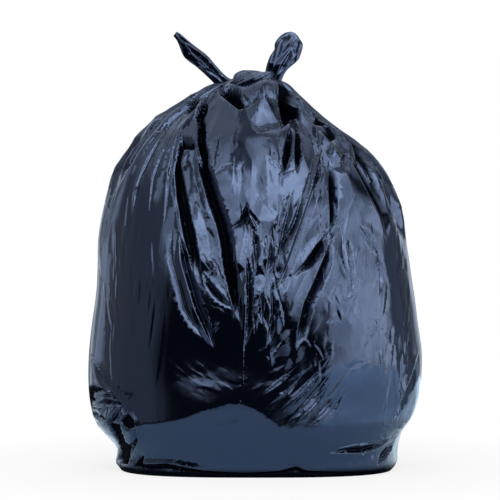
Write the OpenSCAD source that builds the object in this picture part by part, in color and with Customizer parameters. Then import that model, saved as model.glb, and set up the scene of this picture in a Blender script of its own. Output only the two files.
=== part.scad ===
// A filled plastic refuse bag, tied off with a knot of its own film.
// It stands on its flat bottom. X runs left to right as seen from the front,
// the front faces -Y, and the origin is on the ground under the middle.

/* [Filled body] */
// Width of the filled bag at its widest
belly_w = 560; // [440:5:680]
// Front to back at its widest
belly_d = 370; // [300:5:460]
// Height of the gathered neck, where the knot sits
neck_h = 650; // [520:5:800]
// Radius of the rolled edge that the bag stands on
foot_r = 14; // [8:1:24]

/* [Folds] */
// Width of the folds, in percent of those of a common bag
fold_w = 100; // [85:5:115]
// Depth of the folds, in percent of those of a common bag
fold_d = 100; // [60:5:110]
// Number of small pleats drawn in at the neck
pleats = 46; // [30:1:60]
// Depth of the small pleats
pleat_d = 4; // [2:0.5:7]
// Height of the crease left where the flat bag was folded
crease_d = 1.5; // [0.5:0.5:3]

/* [Knot] */
// Thickness of the twisted film that crosses the knot
strand_t = 15; // [11:1:22]
// Width of the neck under the knot
neck_w = 72; // [56:1:90]

/* [Ears] */
// Length of the left ear, from its root to its cut tip
left_ear_l = 148; // [120:2:190]
// Width of the left ear at its widest
left_ear_w = 31; // [22:1:44]
// Length of the right ear, from its root to its round end
right_ear_l = 116; // [92:2:150]
// Width of the right ear at its widest
right_ear_w = 47; // [34:1:60]
// Thickness of the bunched film in an ear
ear_t = 13; // [9:1:18]

/* [Hidden] */

film = [0.10, 0.12, 0.18];
front_step = 2;
back_step = 5.2;
dense_half = 66;
body_rings = 41;
// The narrowest fold that the mesh carries cleanly. Sharper ones are drawn this wide.
narrowest = 14;
seed = 7;

// Outline of the filled bag. Each row has the height as a share of the neck's,
// then the half width to the left, to the right and front to back, as shares of the belly's.
foot_in = 2 * foot_r / belly_w;
outline = [
    [0, 0.836 - foot_in, 0.850 - foot_in, 0.93 - foot_in],
    [foot_r / neck_h, 0.836, 0.850, 0.93],
    [0.050, 0.826, 0.857, 0.945],
    [0.094, 0.915, 0.882, 0.975],
    [0.135, 0.968, 0.945, 0.995],
    [0.200, 0.996, 0.988, 1.000],
    [0.290, 0.996, 1.000, 0.990],
    [0.375, 0.975, 0.972, 0.970],
    [0.460, 0.948, 0.946, 0.945],
    [0.606, 0.921, 0.893, 0.885],
    [0.745, 0.843, 0.796, 0.77],
    [0.837, 0.728, 0.611, 0.62],
    [0.900, 0.564, 0.421, 0.46],
    [0.962, 0.335, 0.258, 0.29],
    [0.985, 0.252, 0.186, 0.20],
    [1, neck_w / belly_w, neck_w / belly_w, 0.5 * neck_w / belly_d]
];

// Folds of the front, as places in the front view: x in percent of the belly's half width
// and height in percent of the neck's. A row is the fold's width, the height of its crest and the
// depth of its valley in mm, then its path from the upper or left end. The film climbs to the
// crest over the width and drops steeply into the valley behind it, on the right or upper side.
// A negative width turns the fold round.
front_folds = [
    // deep fold from the knot down to the middle
    [11, 2, 14, [[-27, 98], [-30.2, 95.9], [-32.4, 93], [-35.4, 90.1], [-34.3, 87.9], [-34.3, 84.1],
        [-31.4, 78.6], [-29, 74]]],
    [17, 1, 14, [[-35.1, 82], [-33.1, 77], [-30.8, 73.4], [-27.4, 68.6], [-22.8, 63.4], [-20.4, 58.9],
        [-19, 53.4], [-15.5, 47], [-12, 41]]],
    // left side of the bright strip beside it, its upper end and its point
    [-18, 5, 9, [[-43.4, 83], [-43.4, 79.4], [-40, 72.1], [-35.4, 63.4], [-34.2, 61.6], [-31.2, 54.4],
        [-30, 48]]],
    [8, 2, 8, [[-43.6, 88], [-44.4, 84], [-46.6, 79], [-47.6, 76.5], [-46, 69.8], [-43, 63.4], [-39, 56],
        [-36, 51]]],
    [16, 1, 10, [[-46.5, 81.7], [-33.5, 82]]],
    [-10, 2, 8, [[-31, 52], [-25, 49], [-18, 45.5], [-11, 42]]],
    // narrow fold under the strip's left side
    [11, 4, 8, [[-44, 61], [-42.5, 54], [-39, 48.5], [-35, 42.5], [-30, 37.5], [-24, 32]]],
    // upright folds that run out in the middle
    [9, 2, 7, [[-5.5, 56], [-5, 47], [-5.5, 41], [-6.5, 32]]],
    [-8, 1, 7, [[-11.5, 57], [-10, 47], [-8, 38]]],
    [9, 3, 6, [[9, 48], [8.5, 41], [6, 32]]],
    [10, 1, 8, [[-5, 69], [-9, 65], [-15, 62]]],
    [8, 1, 6, [[-2, 62], [0, 52]]],
    [8, 1, 7, [[8, 60], [6.5, 51]]],
    [8, 1, 5, [[-25, 74.5], [-11, 79]]],
    // pleats of the left shoulder
    [-8, 3, 6, [[-45, 95], [-53.2, 91.5], [-67.6, 85.7], [-73, 82.5]]],
    [9, 3, 6, [[-48, 93.5], [-55.2, 91], [-66.5, 85.2], [-72.5, 81.4], [-78.3, 77], [-80, 73]]],
    [8, 2.5, 5, [[-60, 89], [-69, 85.6], [-76, 82.8], [-81, 79], [-83, 74]]],
    [10, 2, 9, [[-33, 98], [-36, 96.5], [-41, 92.7], [-43, 90.5]]],
    [8, 2.5, 4, [[-41, 92.5], [-44.6, 89.4], [-52.1, 84.1], [-57.2, 78.6], [-60.1, 74.8], [-62, 70]]],
    [9, 3, 5, [[-40, 94.5], [-50, 90], [-61, 82], [-68, 75], [-73, 66]]],
    [9, 3, 5, [[-58, 91.5], [-72, 85.5], [-83, 76], [-89, 66]]],
    [8, 3, 3, [[-15, 99], [-22.5, 95.5]]],
    // open hem under the knot, with the hollow behind it
    [22, 2, 20, [[-25, 98.5], [-21.5, 96], [-9.5, 91.7], [-5, 92.5], [-1, 94]]],
    // light facets under its right end
    [34, 7, 1, [[-9, 91.5], [-3, 92.8], [4.8, 94], [10, 92.2], [15, 88.5]]],
    [-14, 5, 2, [[6, 95.5], [4.8, 94], [1.2, 88], [1.5, 85]]],
    // hollow right of the middle, with two pockets under it
    [26, 3, 22, [[9.5, 102], [12.5, 97], [13, 93], [14.5, 89.5], [15, 86.5]]],
    [-16, 4, 9, [[13, 99], [19.8, 95.8], [25.1, 92], [27, 88.5], [31, 85]]],
    [10, 1, 11, [[22.5, 89.5], [19, 86.6], [17, 83], [15.6, 79.4], [16, 74.5]]],
    [10, 1, 12, [[24.2, 90], [23.2, 86], [22.8, 82.5], [22.8, 79.4], [24.2, 75.5]]],
    // dark wedge, and the long straight pleats of the right shoulder
    [13, 2, 13, [[33.5, 93], [37.5, 88.3], [44.5, 83.4], [48, 81]]],
    [10, 5, 5, [[38, 92], [44, 88.7], [55, 83.2], [57.8, 78.1], [62.4, 74.1], [72.2, 65], [76, 60]]],
    [-9, 3, 5, [[36, 92], [49, 88], [63, 83.4], [69.8, 80], [78.5, 73.6], [86, 66.2], [90, 58]]],
    [8, 2, 6, [[66, 80], [73, 74], [79, 67]]],
    [8, 3, 4, [[61, 63], [72, 55]]],
    // ridges that run down to the middle, and the upright edge beside them
    [11, 5, 5, [[40, 83], [32, 72], [24.5, 62.5], [17.5, 54], [11.5, 47]]],
    [9, 3, 4, [[27, 71], [20.5, 63.5], [11, 56]]],
    [8, 2, 4, [[21, 72], [15, 62], [11, 52]]],
    [13, 4, 13, [[43.4, 80], [42.6, 72.2], [43, 65], [43.5, 60]]],
    // dark break under them, then the strong ridge
    [12, 3, 10, [[45, 63], [35.5, 58.5], [29, 54.5], [20, 50]]],
    [14, 6, 9, [[46, 60.5], [39.5, 55.5], [33.5, 49.5], [27.5, 44], [24.5, 38.5], [23, 32]]],
    // slanting folds over the lower right front
    [8, 2, 4, [[46, 24], [15, 12.5]]],
    [8, 2, 4, [[49, 20.5], [26, 11]]],
    [8, 2, 3, [[40, 25], [3, 18]]],
    // top of the smooth bottom panel
    [-60, 2.5, 0, [[-80, 12], [-42, 15], [-24, 18], [-9, 19], [15, 12.5], [50, 8]]],
    // edge that the bag stands on, tucked under
    [-11, 1, 9, [[-77, 1.2], [-66, 3], [-52, 3.6], [-30, 2], [-6, 1.4], [14, 2], [24, 3.2],
        [30, 2], [60, 1.3], [77, 1.2]]],
    // bottom corners, pushed in where the flat seam turns under
    [-9, 3, 8, [[-99.3, 30.5], [-80.6, 19.9], [-69.7, 14.1], [-67.7, 9], [-72, 5], [-76.6, 1]]],
    [8, 2, 6, [[-95, 17.2], [-80.6, 18.2]]],
    [8, 2, 7, [[-80.5, 17.5], [-87, 14]]],
    [14, 2, 12, [[-86, 14.5], [-82.2, 7.3], [-82.8, 4.6], [-83.4, 1.5]]],
    [9, 2, 9, [[42, 6.1], [51.6, 6], [63, 5.9], [70, 6.6], [82, 9]]],
    [9, 2, 8, [[71.8, 2.3], [80.8, 5.6], [84, 8]]],
    [8, 2.5, 4, [[97, 22], [94, 16], [91, 13.5], [86.8, 11.8], [81.3, 8.3], [78.3, 6.6]]],
    [12, 3, 4, [[97, 31], [90, 23.4], [84, 17.9], [80, 13]]]
];

// Folds of the back, in the same form, as seen through the bag from the front.
back_folds = [
    // deep pleats that fan out from the neck
    [28, 4, 11, [[-9, 97], [-14, 90], [-18, 84], [-20.5, 74.5], [-21, 55]]],
    [26, 4, 9, [[-17, 97], [-27, 90], [-34, 84], [-38.5, 74.5], [-41, 60]]],
    [26, 3, 8, [[-25, 96], [-39, 90], [-50, 84], [-57, 74.5], [-60, 60]]],
    [26, 4, 10, [[4, 97], [7, 90], [9.5, 84], [11.5, 74.5], [12, 58]]],
    [24, 4, 9, [[11, 97], [17, 90], [23, 84], [28, 74.5], [30, 62]]],
    [28, 4, 10, [[18, 96], [28, 90], [38, 84], [46, 74.5], [50, 60]]],
    [24, 3, 7, [[25, 96], [37, 90], [50.5, 84], [61, 74.5], [67, 62]]],
    // upright folds lower down
    [24, 3, 6, [[-30, 56], [-30, 44], [-28, 30]]],
    [24, 3, 6, [[36, 56], [37, 42], [36, 28]]],
    [22, 2, 5, [[6, 50], [6, 36], [5, 24]]],
    [22, 2, 5, [[-62, 52], [-63, 38], [-62, 22]]],
    [22, 2, 5, [[64, 50], [65, 36], [64, 21]]],
    // bottom panel and corners
    [50, 3, 0, [[-74, 13], [-30, 17], [0, 18], [34, 16], [70, 12]]],
    [-20, 3, 8, [[-96, 30], [-82, 16], [-74, 2]]],
    [20, 3, 8, [[95, 30], [82, 16], [76, 2]]]
];

// Broad bulges and hollows where the contents press: x, height, half width and half height in
// percent as above, and rise in mm.
front_lumps = [
    [-62, 52, 60, 26, 8],
    [60, 40, 55, 24, 7],
    [-4, 17, 70, 20, 1],
    [-6, 80, 30, 16, 6],
    [7, 98, 15, 7, 12],
    [-2, 45, 38, 19, 8],
    [-24, 44, 14, 18, 2],
    [-34, 30, 30, 13, -4],
    [30, 66, 24, 10, 4],
    [-92, 5, 26, 9, -7],
    [90, 5, 22, 8, -4]
];
back_lumps = [
    [-50, 44, 55, 24, 8],
    [52, 56, 50, 22, 7],
    [0, 30, 60, 26, 6],
    [8, 70, 34, 16, -7]
];
// Smooth part of the front under the knot, in the same form, where the film is drawn tight.
tight_film = [-2, 92, 32, 20];

// Ears, as x and z of their left or lower edge and of their right or upper edge, then how far
// back their middle stands, in mm from the middle of the neck's end. Rows run from root to tip.
left_ear = [
    [-50, -32, -22, -24, 8],
    [-60, -16, -28, -12, 6],
    [-70.5, -4.3, -35.5, -2.5, 4],
    [-82, 7, -49.8, 7.2, 2],
    [-99, 22, -69, 28, -1],
    [-112.4, 31.9, -80.3, 40.8, -2],
    [-120.4, 40.8, -97.9, 54.3, -3],
    [-129, 62, -113, 66.5, -4],
    [-133, 68.5, -126, 77.5, -5],
    [-136.5, 72.5, -131.5, 80, -6]
];
right_ear = [
    [10, -28, 34, -30, 8],
    [12, -10, 42, -10, 5],
    [16.8, 11.9, 48.1, 7.1, 4],
    [19.1, 23.1, 56, 18.3, 3],
    [24.8, 39.1, 70.6, 31, 2],
    [32, 50.3, 76.1, 40.8, 3],
    [33.5, 61.5, 80.2, 58.4, 5],
    [41.6, 72.8, 75.3, 67.9, 7],
    [51.3, 79.1, 68.9, 76.8, 8],
    [58, 80.4, 63, 80.2, 9]
];
// Size of the ears that these rows give.
left_row_l = 148;
left_row_w = 31;
right_row_l = 116;
right_row_w = 47;
// Lengthwise fold of an ear: where its crest starts and ends across it, from -1 to 1, and its height.
left_ear_fold = [0.5, -0.1, 3];
right_ear_fold = [-0.6, 0.5, 3.5];
// Share of its thickness that an ear keeps at its tip.
tip_share = 0.3;
ear_sides = 18;

// Twisted film at the knot, in mm from the middle of the neck's end, and how far it bows.
strand_left = [-40, -16, -12];
strand_right = [31, -14, 9];
strand_bow = [0, -12, 1];
strand_steps = 9;
strand_sides = 10;
// Film gathered behind the knot: its middle from the middle of the neck's end, and its half sizes.
gather_at = [-11, 9, -14];
gather_size = [37, 25, 28];
gather_sides = 24;

function mix(a, b, t) = a + (b - a) * t;
function clamp(v, low = 0, high = 1) = min(high, max(low, v));
function ease(v) = let (t = clamp(v)) t * t * (3 - 2 * t);
function across(a, b) = a.x * b.y - a.y * b.x;

// Smooth curve through the rows of a table: column c at the place v of column 0.
function row_at(table, v, i = 0) = i < len(table) - 2 && v > table[i + 1][0] ? row_at(table, v, i + 1) : i;
function slope(table, c, i) =
    let (low = max(0, i - 1), high = min(len(table) - 1, i + 1))
    (table[high][c] - table[low][c]) / (table[high][0] - table[low][0]);
function curve(table, c, v) =
    let (i = row_at(table, v), a = table[i], b = table[i + 1],
         run = b[0] - a[0], t = clamp((v - a[0]) / run), m = slope(table, c, i), n = slope(table, c, i + 1))
    a[c] * (1 + 2 * t) * pow(1 - t, 2) + b[c] * t * t * (3 - 2 * t)
        + run * t * (1 - t) * (m * (1 - t) - n * t);

// Half width of the bag at height h, a share of the neck's, on the side of azimuth a.
function half_w(a, h) = belly_w / 2 * curve(outline, sin(a) < 0 ? 1 : 2, h);
function half_d(h) = belly_d / 2 * curve(outline, 3, h);
// Sections are ellipses at the top and squarer towards the ground.
function squareness(h) = 2 + 0.3 * clamp((0.74 - h) / 0.45) + 0.5 * ease((0.2 - h) / 0.2);
function bent(v, p) = sign(v) * pow(abs(v), p);

// Smooth skin without its folds, at azimuth a (0 is the front, 90 the right side) and height h.
function skin(a, h) =
    let (p = 2 / squareness(h))
    [half_w(a, h) * bent(sin(a), p), -half_d(h) * bent(cos(a), p), neck_h * h];
function outward(a, h) =
    let (n = cross(skin(a + 1, h) - skin(a - 1, h), skin(a, min(1, h + 0.01)) - skin(a, max(0, h - 0.01))))
    n / norm(n);

// Where a fold is deepest and where it ends, in widths behind its crest, and how hollow its climb is.
valley_at = 0.45;
fold_end = 1.4;
climb = 1.2;

// Places in the front view, in mm, from percent.
function in_view(p) = [p.x * belly_w / 200, p.y * neck_h / 100];
// Distances walked along a path at each of its points.
function walked(path, i = 1, far = [0]) =
    i == len(path) ? far : walked(path, i + 1, concat(far, [far[i - 1] + norm(path[i] - path[i - 1])]));
// A fold, made ready: width, crest, valley, path in the view, distances along it, and its limits.
function ready(f) =
    let (path = [for (p = f[3]) in_view(p)], width = max(narrowest, abs(f[0])) * fold_w / 100,
         reach = fold_end * width)
    [sign(f[0]) * width, f[1] * fold_d / 100, f[2] * fold_d / 100, path, walked(path),
     [min([for (p = path) p.x]) - reach, max([for (p = path) p.x]) + reach],
     [min([for (p = path) p.y]) - reach, max([for (p = path) p.y]) + reach]];
folds_in_front = [for (f = front_folds) ready(f)];
folds_behind = [for (f = back_folds) ready(f)];

// Distance of place p from one span of a path, with its side, and how far along the path it is.
function to_span(f, i, p) =
    let (run = f[3][i + 1] - f[3][i], at = p - f[3][i], t = clamp(at * run / (run * run)), off = at - t * run)
    [norm(off), sign(across(run, off)), f[4][i] + t * norm(run)];
// Cross-section of a fold, u widths behind its crest.
function section(f, u) = u <= -1 || u >= fold_end ? 0
    : u < 0 ? f[1] * pow(1 + u, climb)
    : u < valley_at ? f[1] - (f[1] + f[2]) * u / valley_at
    : -f[2] * (fold_end - u) / (fold_end - valley_at);
// A fold flattens over this length at each end, or this share of a short one, and narrows to a
// share of its width.
longest_fade = 45;
fade_share = 0.4;
end_share = 0.3;
function fold_height(f, p) = p.x < f[5][0] || p.x > f[5][1] ? 0
    : let (spans = [for (i = [0 : len(f[3]) - 2]) to_span(f, i, p)],
           s = spans[search(min([for (s = spans) s[0]]), spans, 1, 0)[0]],
           whole = f[4][len(f[4]) - 1], fade = min(longest_fade, fade_share * whole),
           size = ease(s[2] / fade) * ease((whole - s[2]) / fade))
      size * section(f, s[0] * s[1] / (f[0] * mix(end_share, 1, size)));

// How far a place in the view lies within a patch: 1 at its middle, 0 at its edge.
function within(patch, p) =
    let (far = p - in_view([patch[0], patch[1]]), half = in_view([patch[2], patch[3]]))
    ease(1 - norm([far.x / half.x, far.y / half.y]));

// Small pleats that fan out from the neck, each with its own place, depth and length.
pleat_place = rands(-0.3, 0.3, pleats, seed);
pleat_size = rands(0.5, 1.2, pleats, seed + 1);
pleat_end = rands(0.62, 0.86, pleats, seed + 2);
pleat_slope = 3.2;
pleat_fade = 0.16;
function pleat_height(a, h) =
    let (turn = (a + 180) / 360 * pleats, i = floor(turn) % pleats,
         u = turn - floor(turn) - 0.5 - pleat_place[i])
    pleat_d * pleat_size[i] * max(0, 1 - pleat_slope * abs(u))
        * ease((h - pleat_end[i]) / pleat_fade);

function sum(list, i = 0, total = 0) = i == len(list) ? total : sum(list, i + 1, total + list[i]);
// Share of the front's folds that shows at azimuth a; the rest of the bag has the back's.
function facing(a) = ease(cos(a) / 0.15);
function crease_height(a) = crease_d * clamp(1 - abs(a + 2) / front_step);
// Height of the folded film over the smooth skin.
function relief(a, h, near_front, near_back) =
    let (s = skin(a, h), p = [s.x, s.z], front = facing(a), back = facing(a + 180),
         fade = ease(h / 0.012) * ease((1 - h) / 0.015))
    fade * (
        (front == 0 ? 0 : front * (sum([for (f = near_front) fold_height(f, p)])
            + sum([for (l = front_lumps) l[4] * within(l, p)]) + crease_height(a)))
        + (back == 0 ? 0 : back * (sum([for (f = near_back) fold_height(f, p)])
            + sum([for (l = back_lumps) l[4] * within(l, p)])))
        + pleat_height(a, h) * (1 - front * clamp(2.4 * within(tight_film, p))));

// Columns stand closer together across the front, where the folds are sharpest.
columns = concat([for (a = [-dense_half : front_step : dense_half - front_step]) a],
    [for (a = [dense_half : back_step : 360 - dense_half - back_step]) a]);
// They run inwards halfway up, as the film does where the fold lines meet at the middle.
most_drawn = 0.3;
function drawn_in(c, h) = abs(c) >= dense_half ? c
    : c - most_drawn * c * (1 - pow(c / dense_half, 2)) * ease((0.95 - h) / 0.45) * ease((h - 0.05) / 0.35);
// Heights of the rings, closer together near the neck, after the two of the rolled foot.
foot_h = foot_r / neck_h;
ring_heights = concat([0, 0.35 * foot_h],
    [for (i = [0 : body_rings]) mix(foot_h, 1, 1 - pow(1 - i / body_rings, 1.25))]);

// Azimuth and relief of each column along one ring, then the points of the film there.
function near(folds, z) = [for (f = folds) if (z > f[6][0] && z < f[6][1]) f];
function ring_relief(h) =
    let (near_front = near(folds_in_front, h * neck_h), near_back = near(folds_behind, h * neck_h))
    [for (c = columns) let (a = drawn_in(c, h)) [a, relief(a, h, near_front, near_back)]];
function on_ground(p, h) = h == 0 ? [p.x, p.y, 0] : [p.x, p.y, max(p.z, 0.6 * h * neck_h)];
function ring(h, raised) = [for (r = raised) on_ground(skin(r[0], h) + r[1] * outward(r[0], h), h)];

// Closed skin over a stack of rings, all with the same number of points.
// Where relief is given, each four-sided cell is split along the line that follows its folds.
module loft(rings, relief = []) {
    n = len(rings[0]);
    last = len(rings) - 1;
    points = [for (r = rings) for (p = r) p];
    function rise(j, i, k, m) = len(relief) == 0 ? 0 : abs(relief[j][i][1] - relief[k][m][1]);
    sides = [for (j = [0 : last - 1]) for (i = [0 : n - 1])
        let (k = (i + 1) % n, a = j * n + i, b = j * n + k, c = b + n, d = a + n)
        each rise(j, i, j + 1, k) <= rise(j, k, j + 1, i) ? [[a, c, b], [a, d, c]] : [[a, d, b], [b, d, c]]];
    bottom = [for (i = [0 : n - 1]) i];
    top = [for (i = [n - 1 : -1 : 0]) last * n + i];
    polyhedron(points, concat(sides, [bottom, top]));
}

// One ear of film, flat from front to back, with a lengthwise fold on each face.
module ear(rows, long, wide, fold) {
    steps = 2 * (len(rows) - 1);
    root = [rows[0][0] + rows[0][2], rows[0][1] + rows[0][3]] / 2;
    rings = [for (j = [0 : steps])
        let (i = min(len(rows) - 2, floor(j / 2)), row = mix(rows[i], rows[i + 1], j / 2 - i), t = j / steps,
             first = [row[0], row[1]], second = [row[2], row[3]],
             middle = root + long * ((first + second) / 2 - root), half = wide * (second - first) / 2,
             thick = ear_t / 2 * mix(1, tip_share, t), crest = mix(fold[0], fold[1], t))
        [for (k = [0 : ear_sides - 1])
            let (f = 360 * k / ear_sides, u = cos(f), face = sin(f), p = middle + half * u,
                 raised = fold[2] * max(0, 1 - 2 * abs(u - crest)) * abs(face))
            [p.x, row[4] - thick * face - sign(face) * raised, neck_h + p.y]]];
    loft([for (r = rings) [for (i = [ear_sides - 1 : -1 : 0]) r[i]]]);
}

// Twisted film that crosses in front of the neck from ear to ear.
module strand() {
    for (i = [0 : strand_steps - 1]) hull() for (t = [i, i + 1] / strand_steps)
        translate([0, 0, neck_h] + mix(strand_left, strand_right, t) + strand_bow * sin(180 * t))
            scale([1, 0.8, 1]) sphere(d = strand_t * mix(1.1, 0.85, t), $fn = strand_sides);
}

// Film gathered up behind the knot.
module gather() {
    translate([gather_at.x, gather_at.y, neck_h + gather_at.z])
        scale(gather_size) sphere(r = 1, $fn = gather_sides);
}

module filled_body() {
    raised = [for (h = ring_heights) ring_relief(h)];
    loft([for (j = [0 : len(raised) - 1]) ring(ring_heights[j], raised[j])], raised);
}

module tied_bag() {
    color(film) {
        filled_body();
        gather();
        strand();
        ear(left_ear, left_ear_l / left_row_l, left_ear_w / left_row_w, left_ear_fold);
        ear(right_ear, right_ear_l / right_row_l, right_ear_w / right_row_w, right_ear_fold);
    }
}

tied_bag();
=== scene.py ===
import bpy
import math
import numpy as np
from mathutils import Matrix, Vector
from mathutils.geometry import delaunay_2d_cdt


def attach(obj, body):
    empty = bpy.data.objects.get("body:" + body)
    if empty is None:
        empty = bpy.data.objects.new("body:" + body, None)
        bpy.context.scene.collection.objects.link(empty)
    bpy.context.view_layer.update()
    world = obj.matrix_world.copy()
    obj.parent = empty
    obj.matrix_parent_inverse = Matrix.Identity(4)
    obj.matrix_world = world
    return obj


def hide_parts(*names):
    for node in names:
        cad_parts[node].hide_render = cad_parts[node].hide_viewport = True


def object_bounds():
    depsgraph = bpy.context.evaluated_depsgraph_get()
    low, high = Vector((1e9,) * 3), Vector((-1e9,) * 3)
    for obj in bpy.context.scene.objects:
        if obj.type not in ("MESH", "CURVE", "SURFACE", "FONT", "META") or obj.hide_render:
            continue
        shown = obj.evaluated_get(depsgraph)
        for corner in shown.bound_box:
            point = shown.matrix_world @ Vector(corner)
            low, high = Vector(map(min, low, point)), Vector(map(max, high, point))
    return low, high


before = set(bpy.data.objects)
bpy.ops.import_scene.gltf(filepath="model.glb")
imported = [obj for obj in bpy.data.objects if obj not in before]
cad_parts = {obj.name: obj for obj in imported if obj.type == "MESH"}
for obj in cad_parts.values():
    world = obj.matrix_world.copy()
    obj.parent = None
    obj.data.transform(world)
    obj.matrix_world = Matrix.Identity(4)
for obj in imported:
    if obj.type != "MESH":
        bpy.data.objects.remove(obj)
cad_low, cad_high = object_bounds()

# Stage: a pale paper floor, a white surround and soft light, as in a small product studio. Glossy
# film shows what stands round it: a dark room with a soft box high in front and another low on the
# right, a dim wall on the left, and pale blue walls on the right and behind.
scene = bpy.context.scene
scene.view_settings.view_transform = "Standard"

MM_PER_PIXEL = 1.677
CENTRE_COLUMN = 255
MIDDLE_ROW = 250
GROUND_ROW = 467.5
PICTURE_WIDTH = 500
CAMERA_DISTANCE = 5.0
CAMERA_HEIGHT_ANGLE = 2.0

camera_data = bpy.data.cameras.new("camera")
camera = bpy.data.objects.new("camera", camera_data)
scene.collection.objects.link(camera)
scene.camera = camera
aim_right = (PICTURE_WIDTH / 2 - CENTRE_COLUMN) * MM_PER_PIXEL
aim_up = (GROUND_ROW - MIDDLE_ROW) * MM_PER_PIXEL
aim = Vector((aim_right, 0, aim_up)) / 1000
look_down = math.radians(CAMERA_HEIGHT_ANGLE)
camera.location = aim + CAMERA_DISTANCE * Vector((0, -math.cos(look_down), math.sin(look_down)))
camera.rotation_euler = (aim - camera.location).to_track_quat("-Z", "Y").to_euler()
camera_data.angle = 2 * math.atan(PICTURE_WIDTH * MM_PER_PIXEL / 2000 / CAMERA_DISTANCE)


class Wire:
    """An output of a node that can be used in arithmetic. Each operation adds one Math node."""

    def __init__(self, tree, made=None, output=0):
        self.tree, self.made, self.output = tree, made, output

    def node(self, kind, settings=None, **inputs):
        """Adds a node, sets it up, fills or links its sockets by name or by number, and gives a
        wire from its first output."""
        made = self.tree.nodes.new("ShaderNode" + kind)
        for key, value in (settings or {}).items():
            setattr(made, key, value)
        for key, value in inputs.items():
            place = made.inputs[int(key[1:])] if key[0] == "_" else made.inputs[key.replace("_", " ")]
            if isinstance(value, Wire):
                self.tree.links.new(value.made.outputs[value.output], place)
            else:
                place.default_value = value
        return Wire(self.tree, made)

    def out(self, name):
        """A wire from another output of the same node."""
        return Wire(self.tree, self.made, name)

    def maths(self, operation, *values):
        sockets = {f"_{i}": value for i, value in enumerate(values)}
        return self.node("Math", {"operation": operation}, **sockets)

    def __add__(self, other):
        return self.maths("ADD", self, other)

    def __radd__(self, other):
        return self.maths("ADD", other, self)

    def __rsub__(self, other):
        return self.maths("SUBTRACT", other, self)

    def __mul__(self, other):
        return self.maths("MULTIPLY", self, other)

    def __rmul__(self, other):
        return self.maths("MULTIPLY", other, self)

    def step(self, low, high):
        """0 below low, 1 above high, and smooth between them."""
        smooth = {"interpolation_type": "SMOOTHSTEP"}
        return self.node("MapRange", smooth, Value=self, From_Min=low, From_Max=high)

    def between(self, low, high, blur):
        """1 from low to high, fading to 0 over blur outside them."""
        return self.step(low - blur, low) * (1 - self.step(high, high + blur))


def empty_nodes(holder):
    """Wire on the node tree of a world or a material, with nothing in the tree yet."""
    holder.use_nodes = True
    holder.node_tree.nodes.clear()
    return Wire(holder.node_tree)


scene.world = bpy.data.worlds.new("studio")
start = empty_nodes(scene.world)
direction = start.node("TexCoord").out("Generated")
parts = start.node("SeparateXYZ", Vector=direction)
# Degrees to the right of the way to the camera, and degrees above level.
DEGREES_PER_RADIAN = 57.3
bearing = DEGREES_PER_RADIAN * start.maths("ARCTAN2", parts.out("X"), -1 * parts.out("Y"))
above = DEGREES_PER_RADIAN * start.maths("ARCSINE", parts.out("Z"))
BLUR = 8
ahead = bearing.between(-40, 50, BLUR)
# The soft boxes are uneven, as cloth over several lamps is. A black card hides the high one's
# upper left part.
clouds = start.node("TexNoise", Vector=direction, Scale=3.2, Detail=3.0)
brightest = above.between(30, 46, 24) * bearing.between(-8, 16, 34)
glow = (0.35 + 0.65 * brightest) * (0.45 + 0.8 * clouds.step(0.34, 0.66))
card = above.step(34, 46) * bearing.between(-26, -10, BLUR)
high_front = 5.6 * glow * above.between(14, 68, BLUR) * ahead * (1 - 0.8 * card)
low_box = above.between(-30, 22, BLUR) * bearing.between(28, 80, 14) * (0.55 + 0.45 * bearing.step(20, 70))
right_low = 3.4 * (0.5 + 0.7 * clouds.step(0.36, 0.64)) * low_box
# The walls and the ceiling catch some of the boxes' light.
left_wall = 0.45 * (1 - bearing.step(-52, -30)) * bearing.step(-118, -104)
upper_sides = 0.8 * above.step(22, 60) * (1 - ahead)
ceiling = 0.5 * above.step(62, 76) * ahead
right_wall = 0.55 * bearing.step(84, 93) * (1 - bearing.step(108, 118))
back_wall = (0.35 + clouds.step(0.4, 0.6)) * (1 - bearing.between(-104, 108, 14))
DARK_ROOM = 0.01
mirrored = DARK_ROOM + high_front + right_low + left_wall + upper_sides + ceiling
# The camera sees plain white, and matt surfaces get an even light.
AMBIENT = 0.8
path = start.node("LightPath")
seen = path.out("Is Camera Ray")
glossy = path.out("Is Glossy Ray")
strength = seen + (1 - seen) * (glossy * mirrored + (1 - glossy) * AMBIENT)
white_light = start.node("Background", Color=(1, 1, 1, 1), Strength=strength)
WALL_BLUE = (0.72, 0.84, 1.0, 1)
blue_light = start.node("Background", Color=WALL_BLUE, Strength=glossy * (right_wall + back_wall))
light = start.node("AddShader", _0=white_light, _1=blue_light)
start.node("OutputWorld", _0=light)

FLOOR_RADIUS = 1.6
bpy.ops.mesh.primitive_circle_add(vertices=96, radius=FLOOR_RADIUS, fill_type="NGON")
floor = bpy.context.object
floor.name = "floor"
floor_finish = bpy.data.materials.new("floor")
start = empty_nodes(floor_finish)
path = start.node("LightPath")
seen = path.out("Is Camera Ray")
glossy = path.out("Is Glossy Ray")
spot = start.node("TexCoord").out("Object")
away = start.node("VectorMath", {"operation": "LENGTH"}, _0=spot).out("Value")
to_right = start.node("SeparateXYZ", Vector=spot).out("X")
# The floor is plain white to the camera, apart from the shadow close round the bag.
paper = start.node("BsdfDiffuse", Color=(0.82, 0.82, 0.82, 1))
white = start.node("Emission", Color=(1, 1, 1, 1), Strength=1.0)
SHADOW_NEAR, SHADOW_FAR = 0.3, 0.75
clear = 0.8 + 0.2 * away.step(SHADOW_NEAR, SHADOW_FAR)
pale = start.node("MixShader", _0=seen * clear, _1=paper, _2=white)
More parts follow.
